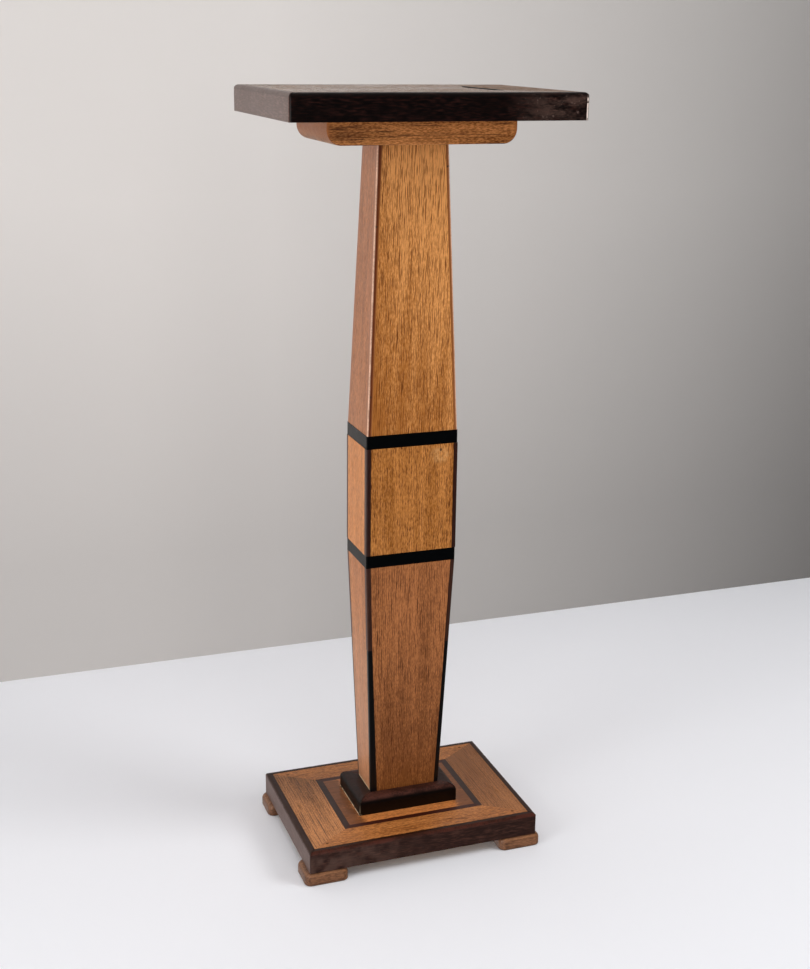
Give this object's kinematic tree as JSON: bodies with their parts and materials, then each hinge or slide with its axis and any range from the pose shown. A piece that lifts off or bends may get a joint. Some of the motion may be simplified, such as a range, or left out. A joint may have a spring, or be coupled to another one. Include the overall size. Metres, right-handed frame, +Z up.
{
  "type": "pedestal column",
  "caption": "Free-standing wooden pedestal: a rectangular top on a tapered, banded, veneered column with dark corner strings, over a framed base on flat feet, to carry a plant or a bust.",
  "frame": {"origin": "on the floor under the centre of the object, between the four feet", "axes": "+Z up along the column, front towards -Y, +X to the right of someone facing the front; the wider sides of the top and base run along X"},
  "size_m": [0.365, 0.26, 1],
  "materials": {
    "oak": "oak veneer under clear satin lacquer, open dark pores",
    "dark_stained_wood": "stained dark brown under satin lacquer",
    "reddish_stained_wood": "stained reddish brown under satin lacquer",
    "black_stained_wood": "stained black under satin lacquer",
    "core_wood": "bare softwood",
    "foot_wood": "oak, stained mid brown, worn satin",
    "steel": "plain steel, dulled",
    "filler": "brown wood filler, matt"
  },
  "bodies": {
    "root": {"top_frame_front": "oak", "top_frame_right": "oak", "top_frame_back": "oak", "top_frame_left": "oak", "top_centre_panel": "oak", "support_block": "oak", "upper_veneer_front": "oak", "upper_veneer_right": "oak", "upper_veneer_back": "oak", "upper_veneer_left": "oak", "middle_veneer_front": "oak", "middle_veneer_right": "oak", "middle_veneer_back": "oak", "middle_veneer_left": "oak", "lower_veneer_front": "oak", "lower_veneer_right": "oak", "lower_veneer_back": "oak", "lower_veneer_left": "oak", "base_frame_front": "oak", "base_frame_right": "oak", "base_frame_back": "oak", "base_frame_left": "oak", "base_centre_panel": "oak", "top_lipping_front": "dark_stained_wood", "top_lipping_right": "dark_stained_wood", "top_lipping_back": "dark_stained_wood", "top_lipping_left": "dark_stained_wood", "plinth_moulding_front": "dark_stained_wood", "plinth_moulding_right": "dark_stained_wood", "plinth_moulding_back": "dark_stained_wood", "plinth_moulding_left": "dark_stained_wood", "base_lipping_front": "dark_stained_wood", "base_lipping_right": "dark_stained_wood", "base_lipping_back": "dark_stained_wood", "base_lipping_left": "dark_stained_wood", "base_inlay_strings": "dark_stained_wood", "middle_strings": "dark_stained_wood", "lower_brown_strings": "dark_stained_wood", "upper_strings": "reddish_stained_wood", "upper_band": "black_stained_wood", "lower_band": "black_stained_wood", "lower_black_strings": "black_stained_wood", "top_core": "core_wood", "upper_core": "core_wood", "middle_core": "core_wood", "lower_core": "core_wood", "base_core": "core_wood", "section_dowels": "core_wood", "foot_front_left": "foot_wood", "foot_front_right": "foot_wood", "foot_back_right": "foot_wood", "foot_back_left": "foot_wood", "top_fixing_screws": "steel", "block_fixing_screws": "steel", "column_fixing_screws": "steel", "foot_nails": "steel", "nail_fillers": "filler"}
  },
  "joints": []
}
